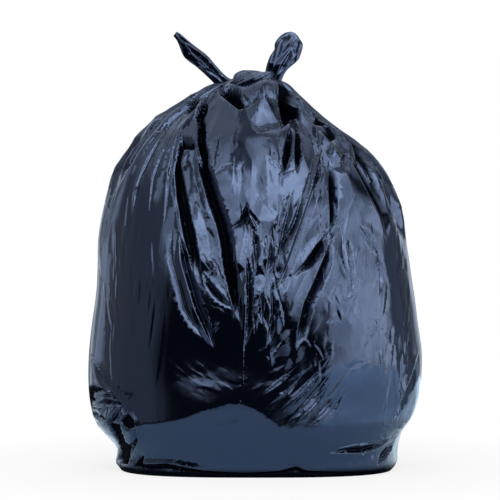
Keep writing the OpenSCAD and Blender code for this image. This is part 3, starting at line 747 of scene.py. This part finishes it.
# Pleats fan out from the neck. Each set has more of them than the one before and ends higher: how
# many, the lowest and the highest end as shares of the neck's height, and strength.
PLEAT_SETS = [(34, 0.44, 0.72, 0.9), (66, 0.60, 0.84, 0.9), (110, 0.80, 0.93, 0.4)]
PLEAT_FADE = 0.16
PLEAT_STEP = 12.0
LAST_PLEAT = 0.995 * math.pi
pleats = []
for count, lowest, highest, strength in PLEAT_SETS:
    turns = (np.arange(count) + rng.uniform(-0.32, 0.32, count)) / count * 2 * math.pi - LAST_PLEAT
    turns = np.sort(np.clip(turns, -LAST_PLEAT, LAST_PLEAT))
    ends = rng.uniform(lowest, highest, count)
    sizes = strength * rng.uniform(0.3, 1.0, count) * np.where(np.arange(count) % 2, 1, -1)
    pleats.append((turns, ends, sizes, count))
    for turn, end in zip(turns, ends):
        ups = np.arange(np.interp(end, fine, film_up), film_up[-1], PLEAT_STEP)
        ups = np.append(ups, film_up[-1])
        add_line(np.full(len(ups), turn * ROUND_PER_RADIAN), ups, True)


def pleat_rise(turned, at):
    """Height in millimetres that the pleats give the film."""
    width = half_width(True, at) + half_width(False, at)
    girth = 4000 * (width + belly_depth * curve(OUTLINE, 3, at)) / 2.6
    slope = 0.29 + 0.30 * ease((at - 0.86) / 0.14)
    total = 0
    for turns, ends, sizes, count in pleats:
        after = np.searchsorted(turns, turned) % count
        before = (after - 1) % count
        gap = (turns[after] - turns[before]) % (2 * math.pi)
        share = ((turned - turns[before]) % (2 * math.pi)) / gap
        low = sizes[before] * ease((at - ends[before]) / PLEAT_FADE)
        high = sizes[after] * ease((at - ends[after]) / PLEAT_FADE)
        total = total + (low * (1 - share) + high * share) * girth / count
    return slope * total


# Background points, closer together on the front.
FRONT_SPACING, BACK_SPACING = 9.0, 17.0
ring_turns = np.linspace(-math.pi, math.pi, 1501)
for row, up in enumerate(np.arange(0, film_up[-1] + 1, film_up[-1] / round(film_up[-1] / FRONT_SPACING))):
    at = float(np.interp(up, film_up, fine))
    ring = skin(ring_turns, at)
    spans = np.linalg.norm(np.diff(ring, axis=0), axis=1) * 1000
    middle_turn = 0.5 * (ring_turns[1:] + ring_turns[:-1])
    crowd = np.where(np.cos(middle_turn) > -0.1, 1 / FRONT_SPACING, 1 / BACK_SPACING)
    steps = walk(spans * crowd)
    count = max(120, int(steps[-1]))
    edge = row == 0 or up > film_up[-1] - 1
    wander = 0 if edge else rng.uniform(-0.3, 0.3, count)
    turned = np.interp((np.arange(count) + 0.5 + wander) / count * steps[-1], steps, ring_turns)
    drift = 0 if edge else rng.uniform(-0.3, 0.3, count) * FRONT_SPACING
    add_line(turned * ROUND_PER_RADIAN, up + drift * np.ones(count), edge)
    places.append((-HALF_GIRTH, up))
    places.append((HALF_GIRTH, up))

MERGE = 0.15
made = delaunay_2d_cdt([Vector(place) for place in places], joins, [], 0, MERGE)
flat_points = np.array([tuple(point) for point in made[0]])
triangles = np.array([face for face in made[2] if len(face) == 3])
# The left and right edges of the unrolled film are one line down the back.
left_edge = np.flatnonzero(flat_points[:, 0] < -HALF_GIRTH + MERGE)
right_edge = np.flatnonzero(flat_points[:, 0] > HALF_GIRTH - MERGE)
left_edge = left_edge[np.argsort(flat_points[left_edge, 1])]
right_edge = right_edge[np.argsort(flat_points[right_edge, 1])]
same = np.arange(len(flat_points))
same[right_edge] = left_edge
triangles = same[triangles]

TURNED = flat_points[:, 0] / ROUND_PER_RADIAN
AT = np.interp(flat_points[:, 1], film_up, fine)
base = skin(TURNED, AT)
NUDGE = 0.008
out = np.cross(skin(TURNED + NUDGE, AT) - skin(TURNED - NUDGE, AT),
               skin(TURNED, np.minimum(1, AT + NUDGE)) - skin(TURNED, np.maximum(0, AT - NUDGE)))
out /= np.linalg.norm(out, axis=1, keepdims=True) + 1e-12
ACROSS, UP = base[:, 0] * 1000, base[:, 2] * 1000
SIDE_BLUR = 0.15
in_front = ease(np.cos(TURNED) / SIDE_BLUR)
behind = ease(-np.cos(TURNED) / SIDE_BLUR)


def patch(x, h, wide, tall, mask=in_front):
    """1 at a place in the view from the front, falling to 0 at that many percent from it."""
    far = np.hypot((ACROSS / PERCENT_ACROSS - x) / wide, (UP / PERCENT_UP - h) / tall)
    return mask * ease(1 - far)


# Film is pulled smooth under the knot and on the left, and every fold runs out at the ground and
# at the neck.
calm = 1 - np.clip(2.4 * np.maximum(patch(-2, 92, 32, 20), patch(-66, 42, 28, 32)), 0, 1)
relief = 0.9 * calm * pleat_rise(TURNED, AT)
BOTTOM_FADE, TOP_FADE = 0.012, 0.015
held = ease(AT / BOTTOM_FADE) * ease((1 - AT) / TOP_FADE)


def folded(group):
    """Height in millimetres that a group of folds gives the film."""
    total = np.zeros(len(base))
    for fold in group:
        close, rise = fold.rise(ACROSS, UP)
        total[close] += held[close] * rise * (behind if fold.back else in_front)[close]
    return total


deep = folded(large_folds)
relief += deep + folded(small_folds + back_folds)
# Painted shade: the finish is darkened where the film lies deep in a fold, and in a band just
# above the edge that the bag stands on, as little light comes back out of them.
SHADE_FROM, SHADE_FULL = 3.5, 8.0
painted_shade_depth = -deep - (POCKET_SHADE - 1) * folded(pockets)
painted_fold_shade = ease((painted_shade_depth - SHADE_FROM) / (SHADE_FULL - SHADE_FROM))
EDGE_TOP, EDGE_DARK = 0.024, 0.012
painted_fold_shade = np.maximum(painted_fold_shade, ease((EDGE_TOP - AT) / (EDGE_TOP - EDGE_DARK)))
relief += held * sum(rise * patch(x, h, wide, tall) for x, h, wide, tall, rise in FRONT_LUMPS)
relief += held * sum(rise * patch(x, h, wide, tall, behind) for x, h, wide, tall, rise in BACK_LUMPS)
film = base + relief[:, None] / 1000 * out
# The film touches the ground at its lowest edge only.
STANDING, LIFT = 0.001, 0.0006
film[AT > STANDING, 2] = np.maximum(film[AT > STANDING, 2], LIFT)
film[AT <= STANDING, 2] = 0

# The film is gathered to a dome behind the knot, and its welded end is folded flat under the bag.
DOME_RINGS, SOLE_RINGS = 14, 12
DOME_TOP = Vector((-0.018, 0.008, 0.664))


def boundary(rows):
    """Points of the lowest or the highest ring of the film, in order round it."""
    rows = np.setdiff1d(np.flatnonzero(rows), right_edge)
    return rows[np.argsort(flat_points[rows, 0])]


top = boundary(flat_points[:, 1] > film_up[-1] - MERGE)
bottom = boundary(flat_points[:, 1] < MERGE)
points = [film]
faces = triangles.tolist()


def close_ring(ring, make, count, upward):
    """Rings of film that carry on from an open edge, and a flat face on the last one."""
    last = ring
    for step in range(1, count + 1):
        first = sum(len(part) for part in points)
        points.append(make(film[ring], step / count))
        new = np.arange(first, first + len(ring))
        low, high = (last, new) if upward else (new, last)
        quads = np.stack([low, np.roll(low, -1), np.roll(high, -1), high], -1)
        faces.extend(quads.tolist())
        last = new
    faces.append(last.tolist() if upward else last[::-1].tolist())


def dome(rim, t):
    """Ring of the dome, t of the way from its rim to its top."""
    turn = np.arctan2(rim[:, 0], -rim[:, 1])
    gathers = 0.0008 * np.sin(turn * 23 + 1.1 * np.sin(3 * turn)) + 0.0005 * np.sin(turn * 41 + 0.7)
    size = 1.001 - t ** 1.5
    x = DOME_TOP.x * t + rim[:, 0] * size
    y = DOME_TOP.y * t + rim[:, 1] * size
    z = rim[:, 2] + (DOME_TOP.z - NECK_HEIGHT) * math.sin(t * math.pi / 2) + gathers * 4 * t * (1 - t)
    return np.stack([x, y, z], -1)


def sole(edge, t):
    """Ring of the underside, t of the way in from its edge, wrinkled where it is off the ground."""
    wrinkle = 0.0012 * (1 + np.sin(edge[:, 0] * 130 + edge[:, 1] * 60 + 3 * t)) * 4 * t * (1 - t)
    size = 1 - 0.995 * t
    return np.stack([edge[:, 0] * size, edge[:, 1] * size, wrinkle], -1)


close_ring(top, dome, DOME_RINGS, True)
close_ring(bottom, sole, SOLE_RINGS, False)
points = np.concatenate(points)
# The unrolled film as a straight tube, so that its finish has no seam. The dome lies above it.
DOME_SHIFT = (0, 0, 0.3)
tube = [ROUND_PER_RADIAN * np.sin(TURNED), ROUND_PER_RADIAN * np.cos(TURNED), flat_points[:, 1]]
unrolled = points + DOME_SHIFT
unrolled[:len(film)] = np.stack(tube, -1) / 1000


def film_mesh(name, points, faces, unrolled, depths=()):
    """Mesh of film. Each point keeps what its finish uses: its place on the unrolled film, and
    how much painted shade it gets, from 0 to 1, for lying deep in a fold. Points after the
    last of depths get none."""
    mesh = bpy.data.meshes.new(name)
    mesh.from_pydata(points.tolist(), [], faces)
    mesh.update()
    mesh.shade_smooth()
    place = mesh.attributes.new("film_place", "FLOAT_VECTOR", "POINT")
    place.data.foreach_set("vector", unrolled.astype(np.float32).ravel())
    painted_shade_amount = np.zeros(len(points), np.float32)
    painted_shade_amount[:len(depths)] = depths
    mesh.attributes.new("painted_shade_mask", "FLOAT", "POINT").data.foreach_set("value", painted_shade_amount)
    piece = bpy.data.objects.new(name, mesh)
    scene.collection.objects.link(piece)
    return piece


bag = film_mesh("film_body", points, faces, unrolled, painted_fold_shade)

film_finish = bpy.data.materials.new("black_film")
start = empty_nodes(film_finish)
spot = start.node("TexCoord").out("Object")
film_place = start.node("Attribute", {"attribute_name": "film_place"}).out("Vector")
# Fine lines drawn along the film when it was blown, and small creases that come in patches.
drawn = start.node("VectorMath", {"operation": "MULTIPLY"}, _0=film_place, _1=(1, 1, 0.06))
lines = start.node("TexNoise", Vector=drawn, Scale=210.0, Detail=2.0)
streaks = start.node("TexNoise", Vector=drawn, Scale=48.0, Detail=1.0)
patches = start.node("TexNoise", Vector=spot, Scale=7.0, Detail=2.0)
ridged = {"noise_type": "RIDGED_MULTIFRACTAL"}
creases = start.node("TexNoise", ridged, Vector=spot, Scale=60.0, Detail=3.0)
# The drawn lines are pressed flat where the film is gathered.
PLAIN, GATHERED = 0.48, 0.60
plain = 1 - start.node("SeparateXYZ", Vector=spot).out("Z").step(PLAIN, GATHERED)
bump_height = 0.3 * creases * patches.step(0.42, 0.66) + plain * (0.5 * lines + 3.0 * streaks)
bump = start.node("Bump", Strength=0.18, Distance=0.001, Height=bump_height)
BLACK, SHEEN = (0.0008, 0.0014, 0.004, 1), (0.44, 0.60, 1.0, 1)
shiny = start.node("BsdfPrincipled", Base_Color=BLACK, Roughness=0.05 + 0.08 * patches, IOR=1.75,
                   Specular_Tint=SHEEN, Normal=bump)
# Painted shade: a near black matt finish is mixed in by the mask, deep in folds and pockets and under the
# edge that the bag stands on.
painted_shade_black = start.node("BsdfDiffuse", Color=(0.001, 0.0015, 0.003, 1))
painted_shade_mask = start.node("Attribute", {"attribute_name": "painted_shade_mask"}).out("Fac")
SHADE = 0.98
film_with_painted_shade = start.node("MixShader", _0=SHADE * painted_shade_mask, _1=shiny, _2=painted_shade_black)
start.node("OutputMaterial", _0=film_with_painted_shade)


def finish_film(piece):
    piece.data.materials.append(film_finish)
    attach(piece, "root")
    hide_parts("tied_bag")


finish_film(bag)

# Knot: the neck's film is twisted and tucked across the front, from the left ear to the right one.
# It is the same film as the bag, pulled tight, so its folds run along the twist.
KNOT_START = Vector((-0.042, -0.018, 0.636))
KNOT_END = Vector((0.031, -0.018, 0.660))
KNOT_SAG = Vector((0, -0.014, 0.001))
KNOT_RADIUS = (0.0072, 0.0052)
KNOT_RINGS, KNOT_COLUMNS = 120, 96


def joined_grid(name, grid, place):
    """Film over a grid of points that is joined round, with a flat face on each open end. The
    place of each ring is how far along the film it lies."""
    rings, columns = grid.shape[:2]
    index = np.arange(rings * columns).reshape(rings, columns)
    right = np.roll(index, -1, 1)
    quads = np.stack([index[:-1], right[:-1], right[1:], index[1:]], -1).reshape(-1, 4)
    faces = quads.tolist() + [index[0][::-1].tolist(), index[-1].tolist()]
    turn = np.arange(columns) / columns * 2 * math.pi
    girth = np.linalg.norm(np.roll(grid, -1, 1) - grid, axis=-1).sum(1).max() / (2 * math.pi)
    unrolled = np.broadcast_arrays(girth * np.sin(turn), girth * np.cos(turn), place[:, None])
    return film_mesh(name, grid.reshape(-1, 3), faces, np.stack(unrolled, -1))


def pleated(turn, count, phase):
    """Sharp folds round a section: crests at even turns, flat film between them."""
    t = (turn * count / (2 * math.pi) + phase) % 1
    return 1 - 2 * np.abs(t - 0.4) / np.where(t < 0.4, 0.8, 1.2)


t = np.linspace(0, 1, KNOT_RINGS)
share = t[:, None]
sag = np.sin(math.pi * share) * np.array(KNOT_SAG)
knot_middle = np.array(KNOT_START) * (1 - share) + np.array(KNOT_END) * share + sag
heading = unit(np.gradient(knot_middle, axis=0))
knot_up = unit(np.cross(heading, (0, -1, 0)))
knot_front = np.cross(knot_up, heading)
# The twist tapers from left to right, and closes at both ends.
closing = np.sqrt(np.clip(1 - (2 * t - 1) ** 6, 0, 1))
TIP_RADIUS = 0.0003
radius = (KNOT_RADIUS[0] * (1 - t) + KNOT_RADIUS[1] * t) * closing + TIP_RADIUS
turn = np.arange(KNOT_COLUMNS) / KNOT_COLUMNS * 2 * math.pi
rings = []
for s, middle, up_way, front_way, size in zip(t, knot_middle, knot_up, knot_front, radius):
    folds = 0.42 * pleated(turn, 4, 0.9 * s + 0.1) + 0.16 * pleated(turn, 9, 1.6 * s + 0.3)
    reach = size * (1 + folds + 0.04 * math.sin(37 * s))
    upward = np.outer(np.cos(turn) * reach, up_way)
    forward = np.outer(0.8 * np.sin(turn) * reach, front_way)
    rings.append(middle + upward - forward)
# The twist takes up more film than its own length, in metres.
FILM_ALONG = 0.12
finish_film(joined_grid("knot_strand", np.array(rings), FILM_ALONG * t))

# Ears: the two ends of the bag's mouth, pulled through the knot. Each is bunched film, flat from
# front to back, with pleats along it. The left one is a long spear, and the right one a round paddle.
EAR_RINGS, EAR_COLUMNS = 150, 128


def ear(name, edges, depths, folds, crinkles):
    """An ear between the two edges that it shows from the front, in millimetres.

    A row of edges has x and z of the left or lower edge, then of the right or upper one, from the
    foot to the tip. A row of depths has the share of the length, then how far back the middle of
    the ear stands and half its thickness. Folds are in the form of the bag's, in millimetres. A row
    of crinkles has how many there are along and across the ear, and their height.
    """
    edges = np.array(edges, float)
    along = walk(np.linalg.norm(np.diff(edges[:, :2] + edges[:, 2:], axis=0), axis=1) / 2)
    table = np.column_stack([along / along[-1], edges])
    t = np.linspace(0, 1, EAR_RINGS)
    first, second = [np.stack([curve(table, k, t), curve(table, k + 1, t)], 1) for k in (1, 3)]
    back, thick = [np.interp(t, np.array(depths)[:, 0], np.array(depths)[:, k])[:, None] for k in (1, 2)]
    turn = np.arange(EAR_COLUMNS) / EAR_COLUMNS * 2 * math.pi
    across, face = np.cos(turn), np.sin(turn)
    x = 0.5 * (first[:, :1] * (1 - across) + second[:, :1] * (1 + across))
    z = 0.5 * (first[:, 1:] * (1 - across) + second[:, 1:] * (1 + across))
    swell = np.zeros(x.size)
    for row in folds:
        close, rise = Fold(False, row, 1).rise(x.ravel(), z.ravel())
        swell[close] += rise
    swell = swell.reshape(x.shape)
    ear_rng = np.random.default_rng(len(folds))
    for count_along, count_across, height in crinkles:
        values = ear_rng.uniform(-height, height, (count_along + 2, count_across + 2))
        v, u = (t * count_along)[:, None] + 0 * x, (across + 1)[None, :] / 2 * count_across + 0 * x
        j, i = np.floor(v).astype(int), np.floor(u).astype(int)
        v, u = v - j, u - i
        low = values[j, i] * (1 - u) + values[j, i + 1] * u
        high = values[j + 1, i] * (1 - u) + values[j + 1, i + 1] * u
        swell += low * (1 - v) + high * v
    bulge = thick * np.abs(face) ** 0.8
    ripple = swell * np.sqrt(np.abs(face)) * np.where(face > 0, 1, 0.6)
    y = back - np.sign(face) * (bulge + ripple)
    grid = np.stack([x, y, z], -1)[:, ::-1] / 1000
    finish_film(joined_grid(name, grid, along[-1] * t / 1000))


ear("left_ear",
    [[-50, 618, -22, 626], [-60, 634, -28, 638], [-70.5, 645.7, -35.5, 647.5], [-82, 657, -49.8, 657.2],
     [-99, 672, -69, 678], [-112.4, 681.9, -80.3, 690.8], [-120.4, 690.8, -97.9, 704.3],
     [-129, 712, -113, 716.5], [-133, 718.5, -126, 727.5], [-136.5, 722.5, -131.5, 730]],
    [[0, 8, 5], [0.2, 4, 6.5], [0.5, -2, 6.5], [0.8, -4, 4.0], [1, -6, 2.0]],
    [(5, 2.5, 1.5, -133, 726, -118, 709, -104, 692),
     (8, 3, 2.5, -124, 715, -98, 700, -78, 684, -60, 668, -42, 650),
     (6, 1.5, 2, -112, 700, -96, 684, -84, 674, -72, 664),
     (5, 1.5, 1.5, -100, 682, -88, 672, -76, 666), (9, 1.0, 2.0, -88, 668, -64, 652, -50, 640)],
    [(12, 3, 0.9), (30, 6, 0.3)])
ear("right_ear",
    [[10, 622, 34, 620], [12, 640, 42, 640], [16.8, 661.9, 48.1, 657.1], [19.1, 673.1, 56, 668.3],
     [24.8, 689.1, 70.6, 681], [32, 700.3, 76.1, 690.8], [33.5, 711.5, 80.2, 708.4],
     [41.6, 722.8, 75.3, 717.9], [51.3, 729.1, 68.9, 726.8], [58, 730.4, 63, 730.2]],
    [[0, 8, 5], [0.25, 4, 6.5], [0.5, 2, 6.5], [0.8, 6, 5.0], [1, 9, 2.0]],
    [(14, 3.5, 4.0, 66, 729, 60, 718, 52, 708, 45, 699, 38, 690, 30, 676),
     (-9, 2, 5, 77, 722, 75, 706, 68, 688), (9, 2.5, 4, 62, 704, 52, 690, 42, 674, 36, 656),
     (7, 2, 3, 70, 694, 58, 680, 47, 662),
     (6, 1.5, 2.5, 47, 722, 40, 708, 35, 692, 28, 668), (5, 1.2, 1.2, 33, 704, 28, 690, 23, 674)],
    [(6, 3, 0.7), (12, 5, 0.2)])
